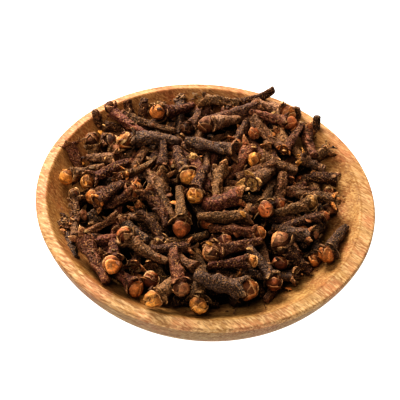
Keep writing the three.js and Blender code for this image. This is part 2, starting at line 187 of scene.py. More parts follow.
# A bud's petals, and the darker blush that spreads over them.
BUD_TONES = {
    "straw": ("#e3b67a", "#a67b47"),
    "amber": ("#e6a75a", "#a36c3a"),
    "orange": ("#e09857", "#a06438"),
    "rust": ("#bd7849", "#824d30"),
    "pink": ("#ca9364", "#936242"),
    "dull": ("#a06c47", "#6f4830"),
    "dark": ("#845a3c", "#5b3b28"),
}
COMMON_TONES = ["dull", "dark", "rust", "dull", "orange", "rust", "dull", "rust", "pink", "dark"]
STEM_TONES = ["#6d4836", "#71553b", "#593d30", "#765944", "#674235", "#5d493d", "#6b4f38", "#533a2e"]
# Painted light: stems are tinted paler towards the back of the heap.
PAINTED_LIGHT_BEHIND = (0.32, 0.35, 0.42)  # stems are paler at the back,
BEHIND = 28  # from this Y on
STALK_TONES = ["#76553e", "#644633", "#6d4e38", "#563d2d", "#7c5c45", "#52392b"]
CUP_TONE = "#775c45"
STAMEN_TONE = "#b0926a"
LOBE_EDGE_TONE = "#bd9667"
PETAL_EDGE_TONE = "#cfa879"
CRUMB_TONES = ["#b08a62", "#a3744a", "#7e573a", "#a98658", "#5f4332", "#8a6746", "#6d4c35"]
# A near-black tone, as painted shade deep in the heap.
BED_SHADE_TONE = "#241813"
SPECK_TONE = "#b88d5b"
WOOD_TONES = {
    "pale": "#c7a479",
    "golden": "#b08b5e",
    "pink": "#b78462",
    "pore": "#835d3e",
    "fleck": "#dabb90",
}
# Painted shade on the wood of the outer wall and the hollow, against the rim's.
WALL_SHADE = (0.62, 0.62, 0.6)
RIM_SHADE = (1, 1, 1)
HOLLOW_SHADE = (0.71, 0.66, 0.53)
# Painted shade: the wood is tinted palest on one side and darker round from it.
PALE_HEADING = -65  # the palest side, degrees
SIDE_SHADE = (0.06, 0.12, 0.13)  # a quarter turn away


def linear(colour):
    """The linear values of a colour written as #rrggbb."""
    parts = [int(colour[i:i + 2], 16) / 255 for i in (1, 3, 5)]
    return np.array([p / 12.92 if p <= 0.04045 else ((p + 0.055) / 1.055) ** 2.4 for p in parts])


def rgba(colour):
    return (*linear(colour), 1)


def mixed(tone, other, share):
    """Between two colours, by one share or by one for each point."""
    share = np.asarray(share)[..., None]
    return tone * (1 - share) + other * share


def unit(vectors):
    return vectors / np.linalg.norm(vectors, axis=-1, keepdims=True)


# ---- The bowl's hollow and the mound over it ----

rim_height = WIDEST_HEIGHT + RIM_RISE
hollow_sphere = (HOLLOW_RADIUS ** 2 + HOLLOW_DEPTH ** 2) / (2 * HOLLOW_DEPTH)
hollow_centre = rim_height - HOLLOW_DEPTH + hollow_sphere


def hollow_height(distance, ball_radius):
    """The height at which a ball rests in the hollow, that far from its axis."""
    square = (hollow_sphere - ball_radius) ** 2 - distance ** 2
    return hollow_centre - np.sqrt(np.maximum(0, square))


floor_rise = FLOOR_TOP - hollow_height(FLOOR_RADIUS, GAP)
floor_sphere = (FLOOR_RADIUS ** 2 + floor_rise ** 2) / (2 * floor_rise)


def edge_radius(angle):
    """How far the mound reaches in this direction."""
    count = len(EDGE_RADII)
    place = ((angle / (2 * pi)) * count + 2 * count) % count
    before = int(place)
    share = place - before
    return EDGE_RADII[before] * (1 - share) + EDGE_RADII[(before + 1) % count] * share


def mound_height(x, y):
    edge = edge_radius(atan2(y, x))
    foot = hollow_height(edge, 0) + EDGE_RISE
    share = min(1, hypot(x, y) / edge)
    return foot + (PEAK_HEIGHT - foot) * (1 - share ** MOUND_POWER)


# ---- Laying the heap ----

PARK_MILLER = (16807, 2147483647)  # the factor and the modulus


class Draws:
    """Park and Miller's random numbers."""

    def __init__(self, seed):
        self.state = seed

    def unit(self):
        factor, modulus = PARK_MILLER
        self.state = self.state * factor % modulus
        return self.state / modulus

    def spread(self, middle, half):
        return middle + half * (2 * self.unit() - 1)


class Heap:
    """The pieces laid so far, and the balls that stand for them."""

    def __init__(self, seed):
        self.draws = Draws(seed)
        self.pieces = []
        self.beads = np.array([[0, 0, FLOOR_TOP - floor_sphere, floor_sphere]])

    def ball_heights(self, x, y, radius, among):
        """The lowest heights at which balls can lie at these places."""
        distance = np.hypot((x - HOLLOW_SHIFT) / HOLLOW_OVAL, y)
        height = hollow_height(distance, GAP + radius)
        reach = among[:, 3] + radius[:, None] - PRESS
        square = reach * reach - (x[:, None] - among[:, 0]) ** 2 - (y[:, None] - among[:, 1]) ** 2
        over = among[:, 2] + np.sqrt(np.maximum(square, 0))
        return np.maximum(height, np.where(square > 0, over, -np.inf).max(axis=1))

    def piece_height(self, beads, pose, among):
        """The lowest height at which a piece lies on what is below it."""
        x, y, rise = ball_places(beads, pose)
        return (self.ball_heights(x, y, beads[:, 1], among) - rise).max()

    def lay(self, piece, pose, height):
        beads = beads_of(piece)
        x, y, rise = ball_places(beads, pose)
        self.beads = np.vstack([self.beads, np.column_stack([x, y, height + rise, beads[:, 1]])])
        self.pieces.append({**piece, **dict(zip(("x", "y", "heading", "tilt"), pose)), "z": height})

    def settle(self, piece, start, moves):
        """Slides and turns a piece a little, to where it lies lower."""
        beads = beads_of(piece)
        reach = piece["length"] / 2 + BALL_RADIUS + moves["slide"] * moves["steps"] / 4
        away = np.hypot(self.beads[:, 0] - start[0], self.beads[:, 1] - start[1])
        near = self.beads[away < self.beads[:, 3] + reach]
        turn = radians(moves["turn"])
        pose = start
        height = self.piece_height(beads, pose, near)
        for _ in range(moves["steps"]):
            halves = (moves["slide"], moves["slide"], turn, turn)
            new_pose = tuple(self.draws.spread(value, half) for value, half in zip(pose, halves))
            new_height = self.piece_height(beads, new_pose, near)
            if new_height < height:
                pose = new_pose
                height = new_height
        return pose, height

    def draw_kind(self):
        left = self.draws.unit()
        for kind, share in KIND_SHARES:
            if left < share:
                return kind
            left -= share
        return KIND_SHARES[0][0]

    def draw_piece(self):
        kind = self.draw_kind()
        length = USUAL_LENGTH[kind] * self.draws.spread(1, LENGTH_SPREAD[kind])
        return {"kind": kind, "length": length, "girth": self.draws.spread(USUAL_GIRTH, GIRTH_SPREAD)}

    def low_place(self):
        """The deepest of some random places, below the mound's surface."""
        places = []
        for _ in range(PROBES):
            angle = 2 * pi * self.draws.unit()
            distance = (edge_radius(angle) - EDGE_MARGIN) * sqrt(self.draws.unit())
            places.append((distance * cos(angle), distance * sin(angle)))
        x, y = np.array(places).T
        mound = np.array([mound_height(*place) for place in places])
        deep = mound - self.ball_heights(x, y, np.full(PROBES, float(PROBE_RADIUS)), self.beads)
        best = int(np.argmax(deep))
        return x[best], y[best], deep[best]

    def fill(self, lot):
        misses = 0
        while misses < lot["patience"]:
            x, y, deep = self.low_place()
            piece = self.draw_piece()
            heading = 2 * pi * self.draws.unit()
            start = (x, y, heading, self.draws.spread(0, radians(USUAL_TILT)))
            pose, height = self.settle(piece, start, LOOSE_MOVES)
            top = height + abs(sin(pose[3])) * piece["length"] / 2
            if deep > lot["depth"] and top - mound_height(pose[0], pose[1]) < lot["rise"]:
                self.lay(piece, pose, height)
                misses = 0
            else:
                misses += 1


def beads_of(piece):
    """The balls of a piece as rows of distance along it from its middle, and radius."""
    kind, length, girth = piece["kind"], piece["length"], piece["girth"]
    if kind == "ball":
        return np.array([[0, BALL_RADIUS * girth]])
    beads = []
    start = -length / 2 + TAIL_RADIUS * girth
    end = length / 2 - max(HEAD_LENGTH[kind], NECK_RADIUS) * girth
    for i in range(STEM_BEADS):
        share = i / (STEM_BEADS - 1)
        radius = (TAIL_RADIUS + (NECK_RADIUS - TAIL_RADIUS) * share) * girth
        beads.append([start + (end - start) * share, radius])
    head = HEAD_BEAD.get(kind)
    if head:
        beads.append([length / 2 - head["drop"] * girth, head["radius"] * girth])
    return np.array(beads)


def ball_places(beads, pose):
    """The X and Y of a piece's balls, and how far each is above the piece's middle."""
    x, y, heading, tilt = pose
    along = beads[:, 0]
    level = cos(tilt)
    return x + along * (level * cos(heading)), y + along * (level * sin(heading)), along * sin(tilt)


def lay_heap():
    heap = Heap(HEAP_SEED)
    for kind, x, y, z, heading, tilt, length in STANDING:
        piece = {"kind": kind, "length": length, "girth": 1, "tone": STANDING_TONE}
        heap.lay(piece, (x, y, radians(heading), radians(tilt)), z)
    heap.fill(FIRST_LOT)
    for piece in heap.pieces[len(STANDING):]:
        piece["deep"] = True
    for kind, x, y, heading, tilt, length, girth, tone in SHOWN:
        piece = {"kind": kind, "length": length, "girth": girth, "tone": tone}
        pose, height = heap.settle(piece, (x, y, radians(heading), radians(tilt)), SMALL_MOVES)
        heap.lay(piece, pose, height)
    heap.fill(LAST_LOT)
    return heap


# ---- Meshes from skins ----

def in_scene(name, data):
    made = bpy.data.objects.new(name, data)
    bpy.context.scene.collection.objects.link(made)
    return made


# Painted shade: the cloves are tinted darker the deeper they lie under the heap's top.
GRID_HALF = 46  # the heap's top is measured on a grid of 1 mm cells,
TOP_BLUR = 4  # and smoothed this many times
SHADE_DEPTHS = [2.5, 6.8]  # below that top
SHADES = [1, 0.2]


class Shade:
    """Painted shade on the heap: how much darker a place is tinted, from its depth under the heap's top."""

    def __init__(self, heap):
        line = np.arange(-GRID_HALF, GRID_HALF + 1.0)
        size = np.full(len(line), float(PROBE_RADIUS))
        rows = [heap.ball_heights(np.full(len(line), x), line, size, heap.beads) for x in line]
        self.top = np.array(rows)
        for _ in range(TOP_BLUR):
            for axis in (0, 1):
                self.top = (np.roll(self.top, 1, axis) + self.top + np.roll(self.top, -1, axis)) / 3

    def at(self, points):
        cell = np.clip(np.rint(points[:, :2]) + GRID_HALF, 0, 2 * GRID_HALF).astype(int)
        depth = self.top[cell[:, 0], cell[:, 1]] - points[:, 2]
        return np.interp(depth, SHADE_DEPTHS, SHADES)


def with_ends(rows):
    """Values on rings, then the mean of each end ring."""
    return np.concatenate([rows.reshape(-1, 3), [rows[0].mean(axis=0), rows[-1].mean(axis=0)]])


STEM_FINISH = 0
BUD_FINISH = 1


class Batch:
    """Closed skins that become one mesh with tinted points."""

    def __init__(self):
        self.points = []
        self.tints = []
        self.faces = []
        self.finishes = []
        self.count = 0

    def add(self, rings, tint, finish=STEM_FINISH):
        """A closed skin over rings[row, side] with capped ends. Its tint is one colour, or one a point."""
        rows, sides = rings.shape[:2]
        side = np.arange(sides)
        beside = (side + 1) % sides
        start = (np.arange(rows - 1) * sides)[:, None]
        above = start + sides
        walls = np.stack([start + side, start + beside, above + beside, above + side], axis=-1)
        none = np.full(sides, -1)
        last = (rows - 1) * sides
        low = np.stack([np.full(sides, rows * sides), beside, side, none], axis=-1)
        high = np.stack([np.full(sides, rows * sides + 1), last + side, last + beside, none], axis=-1)
        faces = np.concatenate([walls.reshape(-1, 4), low, high])
        self.add_faces(faces)
        self.finishes.append(np.full(len(faces), finish))
        self.points.append(with_ends(rings))
        self.tints.append(np.clip(with_ends(np.broadcast_to(tint, rings.shape)), 0, 1))
        self.count += rows * sides + 2

    def add_faces(self, faces):
        """Rows of four corners, the last of them -1 in a triangle."""
        self.faces.append(np.where(faces >= 0, faces + self.count, -1))

    def take(self, other, matrix, shape, shade):
        """Adds another batch, bent, placed and darkened with painted shade where it lies deep."""
        points = shape(np.concatenate(other.points)) @ matrix[:3, :3].T + matrix[:3, 3]
        self.points.append(points)
        self.tints.append(np.concatenate(other.tints) * shade.at(points)[:, None])
        self.add_faces(np.concatenate(other.faces))
        self.finishes.extend(other.finishes)
        self.count += other.count

    def build(self, name, materials):
        points = np.concatenate(self.points) * MM
        faces = np.concatenate(self.faces)
        corners = np.where(faces[:, 3] >= 0, 4, 3)
        starts = np.concatenate([[0], np.cumsum(corners)[:-1]])
        finishes = np.concatenate(self.finishes)
        tints = np.column_stack([np.concatenate(self.tints), np.ones(len(points))])
        mesh = bpy.data.meshes.new(name)
        mesh.vertices.add(len(points))
        mesh.loops.add(int(corners.sum()))
        mesh.polygons.add(len(faces))
        for material in materials:
            mesh.materials.append(material)
        tint = mesh.attributes.new("tint", "FLOAT_COLOR", "POINT")
        for target, key, values, kind in [
            (mesh.vertices, "co", points, np.float32),
            (mesh.loops, "vertex_index", faces[faces >= 0], np.int32),
            (mesh.polygons, "loop_start", starts, np.int32),
            (mesh.polygons, "use_smooth", np.ones(len(faces)), bool),
            (mesh.polygons, "material_index", finishes, np.int32),
            (tint.data, "color", tints, np.float32),
        ]:
            target.foreach_set(key, values.astype(kind).ravel())
        mesh.update()
        mesh.validate()
        return in_scene(name, mesh)


# ---- The parts of a clove, along +Z with the neck at 0 ----

rng = np.random.default_rng(HEAP_SEED)
uniform = rng.uniform
LAST_TURN = 6  # radians
OFF_PATH = (0.31, 0.17, 0.94)  # no path goes this way
OFF_AXIS = (0.2, 0.1, 1)  # nor a petal's axis this way


def pick(colours):
    return linear(str(rng.choice(colours)))


def ring_noise(rows, sides, along=1, around=1):
    """Random numbers on rings, smoothed this many times along and around them."""
    noise = rng.normal(size=(rows, sides))
    for _ in range(around):
        noise = (noise + np.roll(noise, 1, axis=1) + np.roll(noise, -1, axis=1)) / 3
    for _ in range(along):
        padded = np.vstack([noise[:1], noise, noise[-1:]])
        noise = (padded[:-2] + padded[1:-1] + padded[2:]) / 3
    return noise / noise.std()


def around_axis(sides, turn=0.0):
    return turn + 2 * pi * np.arange(sides) / sides


def turned(radius, height, sides, turn=0.0):
    """Rings about the Z axis. Radius is one number a ring or one a point."""
    radius = np.asarray(radius, dtype=float)
    if radius.ndim == 1:
        radius = radius[:, None] * np.ones(sides)
    height = np.asarray(height, dtype=float)[:, None] * np.ones(sides)
    angle = around_axis(sides, turn)
    return np.stack([radius * np.cos(angle), radius * np.sin(angle), height], axis=-1)


def tube(path, radii, sides, flat=1.0):
    """Rings round a path of points. Flat squeezes the section."""
    ahead = unit(np.gradient(path, axis=0))
    across = unit(np.cross(ahead, OFF_PATH))
    up = np.cross(ahead, across)
    angle = around_axis(sides)
    ring = np.cos(angle)[:, None] * across[:, None] + flat * np.sin(angle)[:, None] * up[:, None]
    return path[:, None] + radii[:, None, None] * ring


def profile(rows, girth, sides):
    """Rings about the Z axis from rows of radius and height, for a middling girth."""
    radius, height = np.array(rows).T * girth
    return turned(radius, height, sides)


STEM_MESH = (22, 32)  # sides and rings
DEEP_STEM_MESH = (14, 16)  # deep in the heap
CUT_SHARE = 0.66  # the flat of a cut end
CUT_ROUND = 0.3
SWELLINGS = [(0.05, 7), (0.04, 13)]  # their size and pace
SQUARENESS = 0.085  # it is a little four-sided
# Long wrinkles, knobs and pits: height, painted light and shade (paler where raised, darker where sunk), and
# how often smoothed along and around the stem.
RELIEF = [(0.085, 0.1, 6, 1), (0.045, 0.06, 1, 1), (0.015, 0.05, 0, 0)]
BLOTCHES = 0.1
WARMTH = 0.03
SHADE_LIMITS = (0.4, 2.0)


def stem_part(batch, length, piece, tone, crown):
    """From the tail at -length to the neck at 0, then the crown's rings of radius and height."""
    sides, rows = DEEP_STEM_MESH if piece.get("deep") else STEM_MESH
    share = np.linspace(0, 1, rows)
    swell = 1
    for size, pace in SWELLINGS:
        swell = swell + size * np.sin(share * pace + uniform(0, LAST_TURN))
    stoutness = uniform(0.92, 1.16)
    radius = (TAIL_RADIUS + (NECK_RADIUS - TAIL_RADIUS) * share) * swell * stoutness
    height = -length + length * share
    radius[0] *= CUT_SHARE
    height[1] = height[0] + CUT_ROUND
    crown_radius, crown_height = np.array(crown).T
    radius = np.concatenate([radius, crown_radius]) * piece["girth"]
    height = np.concatenate([height, crown_height * piece["girth"]])
    rows = len(radius)
    square = 1 + SQUARENESS * np.cos(4 * around_axis(sides, uniform(0, LAST_TURN)))
    # Painted light and shade that follow the relief.
    relief, shade = 1, 1
    for size, paler, along, around in RELIEF:
        noise = ring_noise(rows, sides, along, around)
        relief = relief + size * noise
        shade = shade + paler * noise
    rings = turned(radius[:, None] * square * relief, height, sides, uniform(0, LAST_TURN))
    blotch = 1 + BLOTCHES * ring_noise(rows, sides, along=6, around=6)
    warmth = 1 + WARMTH * ring_noise(rows, sides, along=4, around=4)
    hue = np.stack([warmth, np.ones_like(warmth), 1 / warmth], axis=-1)
    batch.add(rings, tone * (np.clip(shade, *SHADE_LIMITS) * blotch)[:, :, None] * hue)


LOBE_MESH = (10, 7)  # sides and rings
LOBE_FOLD = 0.3  # of a lobe's sides, inwards
LOBE_TAPER = 0.62  # the power by which it narrows
LOBE_BULGE = 0.25  # half way
LOBE_THINNING = 0.7  # towards its tip
LOBE_TIP = (0.05, 0.04)  # half its width and thickness
LOBE_KNOBS = 0.12
KNOB_LIGHT = 0.25
# How dry its edges are against its tip, and how sharply each ends.
DRY_EDGE, EDGE_POWER, TIP_POWER = 0.5, 6, 3


def lobe_part(batch, heading, root, tip, width, thick, curl, tone):
    """A pointed fleshy lobe from root to tip, each given as distance from the axis and height."""
    sides, rows = LOBE_MESH
    share = np.linspace(0, 1, rows)
    run = tip - root
    normal = unit(np.array([run[1], -run[0]]))
    arch = np.sin(pi * share)
    middle = root + share[:, None] * run + curl * arch[:, None] * normal
    half_width = width / 2 * (1 - share) ** LOBE_TAPER * (1 + LOBE_BULGE * arch)
    half_thick = thick / 2 * (1 - LOBE_THINNING * share)
    half_width[-1], half_thick[-1] = LOBE_TIP
    angle = around_axis(sides)
    across = half_width[:, None] * np.cos(angle)
    out = half_thick[:, None] * np.sin(angle) - LOBE_FOLD * half_width[:, None] * np.cos(angle) ** 2
    knobs = ring_noise(rows, sides)
    out *= 1 + LOBE_KNOBS * knobs
    radial = middle[:, None, 0] + out * normal[0]
    height = middle[:, None, 1] + out * normal[1]
    ahead = np.array([cos(heading), sin(heading)])
    beside = np.array([-ahead[1], ahead[0]])
    plan = radial[:, :, None] * ahead + across[:, :, None] * beside
    rings = np.concatenate([plan, height[:, :, None]], axis=-1)
    dryness = uniform(0.2, 0.9)
    dry_edge = DRY_EDGE * np.abs(np.cos(angle)) ** EDGE_POWER
    dry = np.clip(dry_edge + share[:, None] ** TIP_POWER, 0, 1) * dryness
    shade = np.clip(1 + KNOB_LIGHT * knobs, *SHADE_LIMITS)
    batch.add(rings, mixed(tone, linear(LOBE_EDGE_TONE), dry) * shade[:, :, None])


PETALS = 4
PETAL_SIDES = 20
PETAL_SHARES = [1, 1, 0.94, 0.82, 0.6, 0.36, 0.12]  # of its rings
PETAL_THICKNESS = 0.16
PETAL_STEP = 0.07  # each petal lies this much outside the one before
PETAL_FLAT = 0.07  # in its middle
EDGE_WAVE, WORN_WAVE = 0.08, 0.16  # fresh, and added with wear
LUMPS, WORN_LUMPS = 0.03, 0.07
SIDE_BLUSH, TOP_FADE, PATCHES = 0.95, 0.85, 0.22  # the blush fades towards the bud's top
MOTTLE = 0.07
# Painted shade in the crevice beside the edge of a petal over another.
CREVICE_WIDTH, CREVICE_SHADE = 0.26, 0.55  # beside a petal over it
PALE_START = 0.8  # from this share of its reach on
PALEST = 0.85


def petal_part(batch, bud, axis, spread, radius, tones, above):
    """One petal: a cap of the ball about this axis. Above holds the axis and spread of the petals over it."""
    aside = unit(np.cross(axis, OFF_AXIS))
    other = np.cross(axis, aside)
    share = np.array(PETAL_SHARES)[:, None]
    rows = len(share)
    angle = around_axis(PETAL_SIDES)
    wave = (EDGE_WAVE + WORN_WAVE * bud["wear"]) * ring_noise(1, PETAL_SIDES, along=0, around=2)
    polar = share * spread * (1 + wave)
    lumps = (LUMPS + WORN_LUMPS * bud["wear"]) * ring_noise(rows, PETAL_SIDES, along=2, around=2)
    size = radius * (1 - PETAL_FLAT * (1 - share ** 2) + lumps)
    size[0] = radius - PETAL_THICKNESS
    sideways = np.cos(angle)[:, None] * aside + np.sin(angle)[:, None] * other
    towards = np.cos(polar)[:, :, None] * axis + np.sin(polar)[:, :, None] * sideways
    rings = towards * size[:, :, None] * bud["squash"] + [0, 0, bud["middle"]]
    patches = PATCHES * ring_noise(rows, PETAL_SIDES, along=2, around=3)
    blush = np.clip(SIDE_BLUSH - TOP_FADE * towards[:, :, 2] + patches, 0, 1)
    mottle = 1 + MOTTLE * ring_noise(rows, PETAL_SIDES, along=0, around=0)
    # Painted shade beside the edge of each petal over this one, multiplied into the mottle.
    for over, over_spread in above:
        past = np.arccos(np.clip(towards @ over, -1, 1)) - over_spread
        mottle = mottle * (1 - CREVICE_SHADE * np.exp(-(past / CREVICE_WIDTH) ** 2))
    paleness = min(PALEST, uniform(0.1, 0.6) + bud["wear"])
    pale = paleness * np.clip((share - PALE_START) / (1 - PALE_START), 0, 1) ** 2
    flesh = mixed(tones[0], tones[1], blush) * mottle[:, :, None]
    batch.add(rings, mixed(flesh, linear(PETAL_EDGE_TONE), pale), BUD_FINISH)


BUD_RISE = 2.55  # above the neck
BUD_SWELL = 0.05
BUD_SINK = 0.05
BUD_SQUASH = [(0.88, 1.05), (0.88, 1.05), (0.86, 1.04)]  # along X, Y and Z
INNER_POLAR = [150, 125, 100, 75, 50, 28, 8]  # degrees from its top
INNER_SIDES = 16
INNER_SHARE = 0.95
INNER_SHADE = 0.6
QUARTER = pi / 2


def bud_part(batch, girth, tones):
    """A ball of petals that overlap, the last one outermost."""
    bud = {"middle": BUD_RISE * girth, "squash": np.array([uniform(*limits) for limits in BUD_SQUASH])}
    inner = (BALL_RADIUS + BUD_SWELL) * girth - (PETALS - 1) * PETAL_STEP - BUD_SINK
    polar = np.radians(INNER_POLAR)
    rings = turned(inner * np.sin(polar), inner * np.cos(polar), INNER_SIDES) * bud["squash"] * INNER_SHARE
    batch.add(rings + [0, 0, bud["middle"]], tones[1] * INNER_SHADE, BUD_FINISH)
    turn = uniform(0, 2 * pi)
    bud["wear"] = uniform(0.15, 1) ** 1.3  # few are much worn
    petals = []
    for place in rng.permutation(PETALS):
        heading = turn + QUARTER * place + uniform(-0.2, 0.2)
        lean = radians(uniform(38, 54))
        level = sin(lean)
        axis = np.array([level * cos(heading), level * sin(heading), cos(lean)])
        petals.append((axis, radians(uniform(56, 68))))
    for i, (axis, spread) in enumerate(petals):
        own_tones = [tone * uniform(0.8, 1.15) for tone in tones]
        petal_part(batch, bud, axis, spread, inner + PETAL_STEP * i, own_tones, petals[i + 1:])


THREAD_MESH = (5, 6)  # sides and rings
THREAD_TAPER = 0.55


def thread_part(batch, start, direction, length, radius, bend, tone):
    sides, rows = THREAD_MESH
    direction = unit(np.array(direction))
    aside = unit(np.cross(direction, rng.normal(size=3)))
    share = np.linspace(0, 1, rows)[:, None]
    path = np.array(start) + direction * length * share + aside * bend * length * share ** 2
    batch.add(tube(path, radius * (1 - THREAD_TAPER * share[:, 0]), sides), tone, BUD_FINISH)


# Rings of radius and height from the neck up, for a middling girth.
WHOLE_CROWN = [(1.8, 0.5), (1.95, 1.0), (1.55, 1.35)]
OPEN_CROWN = [(1.8, 0.4), (1.98, 0.85), (1.85, 1.12), (1.45, 1.15), (1.25, 0.85), (0.9, 0.6), (0.4, 0.55)]
STALK_CROWN = [(1.62, 0.0), (1.2, 0.12), (0.5, 0.02)]
STALK_END = 0.12  # the height of that crown
CUP = [(1.2, 0.5), (1.25, 0.9), (0.95, 1.0), (0.5, 0.85)]
KNOB = [(0.8, 0.1), (1.5, 0.25), (1.75, 0.9), (1.2, 1.4)]
CUP_SIDES = 16
KNOB_SIDES = 12
# The reach and rise of the lobes' tips, and the place of their roots.
WHOLE_TIPS = [(2.7, 3.4), (1.4, 2.4)]
LOOSE_TIPS = [(2.3, 2.7), (1.3, 2.2)]
OPEN_TIPS = [(2.8, 3.6), (1.7, 2.5)]
CALYX_ROOT = (1.45, 0.35)
OPEN_ROOT = (1.4, 0.45)
LOBES = 4
# How many lobes are broken, cups have a style or stamens, and loose buds have lobes.
BROKEN, STYLED, STAMENED, LOBED = 0.15, 0.6, 0.3, 0.65
STAMENS = 12
STAMEN_ROOT = (1.15, 0.95)
STAMEN_LEAN = 0.5
GILT_REDS = [0.35, 0.65]
GILTS = [0.3, 0.8]  # the bud tone's share in an open clove, by its red


def quarters(swerve):
    """The headings of four lobes, one after the other."""
    turn = uniform(0, 2 * pi)
    for i in range(LOBES):
        yield turn + QUARTER * i + uniform(-swerve, swerve)


def calyx(batch, girth, stem_tone, tips):
    """The four lobes round a whole bud."""
    root = np.array(CALYX_ROOT) * girth
    for heading in quarters(swerve=0.12):
        tip = np.array([uniform(*limits) for limits in tips]) * girth
        width = uniform(2.2, 2.7) * girth
        tone = stem_tone * uniform(0.8, 1.3)
        lobe_part(batch, heading, root, tip, width, thick=0.85 * girth, curl=0.25, tone=tone)


def headed_stem(batch, piece, crown):
    """A stem with room left for its head. Returns how far its neck is above the clove's middle."""
    neck = piece["length"] / 2 - HEAD_LENGTH[piece["kind"]] * piece["girth"]
    stem_part(batch, piece["length"] / 2 + neck, piece, piece["stem_tone"], crown)
    return neck


def whole_clove(batch, piece):
    neck = headed_stem(batch, piece, WHOLE_CROWN)
    calyx(batch, piece["girth"], piece["stem_tone"], WHOLE_TIPS)
    bud_part(batch, piece["girth"], piece["bud_tones"])
    return neck


def open_clove(batch, piece):
    """A clove that has lost its bud: spread lobes round a cup."""
    girth = piece["girth"]
    neck = headed_stem(batch, piece, OPEN_CROWN)
    bud_tone = piece["bud_tones"][0]
    gilt = np.interp(bud_tone[0], GILT_REDS, GILTS)
    lobe_tone = mixed(piece["stem_tone"], bud_tone, gilt)
    root = np.array(OPEN_ROOT) * girth
    for heading in quarters(swerve=0.15):
        left = uniform(0.55, 0.8) if uniform() < BROKEN else 1
        tip = np.array([uniform(*limits) for limits in OPEN_TIPS]) * left * girth
        width = uniform(2.1, 2.7) * girth
        curl = uniform(0.05, 0.4)
        tone = lobe_tone * uniform(0.8, 1.3)
        lobe_part(batch, heading, root, tip, width, thick=0.8 * girth, curl=curl, tone=tone)
    cup_tone = mixed(linear(CUP_TONE), bud_tone, gilt) * uniform(0.5, 1.2)
    batch.add(profile(CUP, girth, CUP_SIDES), cup_tone)
    if uniform() < STYLED:
        lean = (rng.normal(0, 0.25), rng.normal(0, 0.25), 1)
        start = (0, 0, 0.8 * girth)
        thread_part(batch, start, lean, 1.5 * girth, radius=0.26 * girth, bend=0.1, tone=linear(CUP_TONE))
    if uniform() < STAMENED:
        for _ in range(STAMENS):
            stamen(batch, girth)
    return neck


def stamen(batch, girth):
    angle = uniform(0, 2 * pi)
    out, up = np.array([cos(angle), sin(angle), 0]), np.array([0, 0, 1])
    start = (STAMEN_ROOT[0] * out + STAMEN_ROOT[1] * up) * girth
    tone = linear(STAMEN_TONE) * uniform(0.5, 1.1)
    length = uniform(0.9, 1.6) * girth
    thread_part(batch, start, STAMEN_LEAN * out + up, length, radius=0.13, bend=rng.normal(0, 0.3), tone=tone)


def stalk(batch, piece):
    """A stem or a bit of fruit stalk, blunt at both ends."""
    neck = piece["length"] / 2 - STALK_END
    stem_part(batch, piece["length"] / 2 + neck, piece, pick(STALK_TONES), STALK_CROWN)
    return neck


def loose_bud(batch, piece):
    """A bud that has come off, most with the lobes still round it."""
    girth = piece["girth"]
    bud_part(batch, girth, piece["bud_tones"])
    if uniform() < LOBED:
        calyx(batch, girth, piece["stem_tone"], LOOSE_TIPS)
        batch.add(profile(KNOB, girth, KNOB_SIDES), piece["stem_tone"])
    return -BUD_RISE * girth


MAKERS = {"whole": whole_clove, "open": open_clove, "stalk": stalk, "ball": loose_bud}
PIECE_NAMES = {"whole": "whole_cloves", "open": "open_cloves", "stalk": "clove_stalks", "ball": "loose_buds"}
BOW = 0.5  # of a clove's ends, about
BOW_LIMIT = 1.2  # in half lengths
MEAN_SQUARE = 1 / 3  # keeps a bowed clove about its axis


def placing(piece):
    """The matrix from a clove's own frame, head at +Z, to where it lies."""
    roll = Matrix.Rotation(uniform(0, 2 * pi), 4, "Z")
    tilt = Matrix.Rotation(pi / 2 - piece["tilt"], 4, "Y")
    heading = Matrix.Rotation(piece["heading"], 4, "Z")
    place = Matrix.Translation((piece["x"], piece["y"], piece["z"]))
    return np.array(place @ heading @ tilt @ roll)


def bowed(half_length):
    """A shape that bows a clove sideways a little about its middle."""
    bow = rng.normal(0, BOW, 2)

    def shape(points):
        share = np.clip(points[:, 2] / half_length, -BOW_LIMIT, BOW_LIMIT)
        moved = points.copy()
        moved[:, :2] += bow * (share ** 2 - MEAN_SQUARE)[:, None]
        return moved
    return shape


def clove_batches(heap):
    batches = {kind: Batch() for kind in MAKERS}
    shade = Shade(heap)
    for piece in heap.pieces:
        name = piece.get("tone") or str(rng.choice(COMMON_TONES))
        bud_tones = [linear(tone) * uniform(0.85, 1.12) for tone in BUD_TONES[name]]
        stem_tone = pick(STEM_TONES) * uniform(0.7, 1.3)
        # Painted light, paler towards the back of the heap.
        stem_tone = stem_tone * (1 + np.array(PAINTED_LIGHT_BEHIND) * np.clip(piece["y"] / BEHIND, 0, 1))
        clove = Batch()
        neck = MAKERS[piece["kind"]](clove, {**piece, "bud_tones": bud_tones, "stem_tone": stem_tone})
        clove.points = [points + [0, 0, neck] for points in clove.points]
        shape = bowed(piece["length"] / 2) if piece["kind"] != "ball" else np.array
        batches[piece["kind"]].take(clove, placing(piece), shape, shade)
    return batches


# ---- Crumbs ----

CRUMBS = {"grain": 250, "sliver": 210, "thread": 130, "flake": 170, "petal": 24}
CLUMP_KINDS = ["grain", "flake", "sliver"]
# Clumps at the heap's edge: middle X and Y, spread and count.
CLUMPS = [(-35, -12.5, 1.8, 60), (-18, 31, 3.5, 50), (2, 34, 4, 70)]
CRUMB_RADIUS = 0.45
CRUMB_LIMIT = 39.5  # none lies further out
CRUMB_REACH = 0.97  # of the mound's edge
# The length, half the width and the flatness of each kind but the threads.
CRUMB_SIZES = {
    "grain": [(0.3, 0.8), (0.16, 0.34), (0.6, 1)],
    "sliver": [(1, 2.8), (0.12, 0.24), (0.4, 0.8)],
    "flake": [(1.2, 2.4), (0.35, 0.7), (0.12, 0.25)],
    "petal": [(1.8, 2.8), (0.7, 1.1), (0.08, 0.15)],
}
CRUMB_MESH = (8, 6)  # sides and rings
CRUMB_DROOP = 0.12  # of its length
BLUNTNESS = 0.03
CRUMB_MOTTLE = 0.2
SCRAP_TONES = ["amber", "orange", "rust", "dull"]


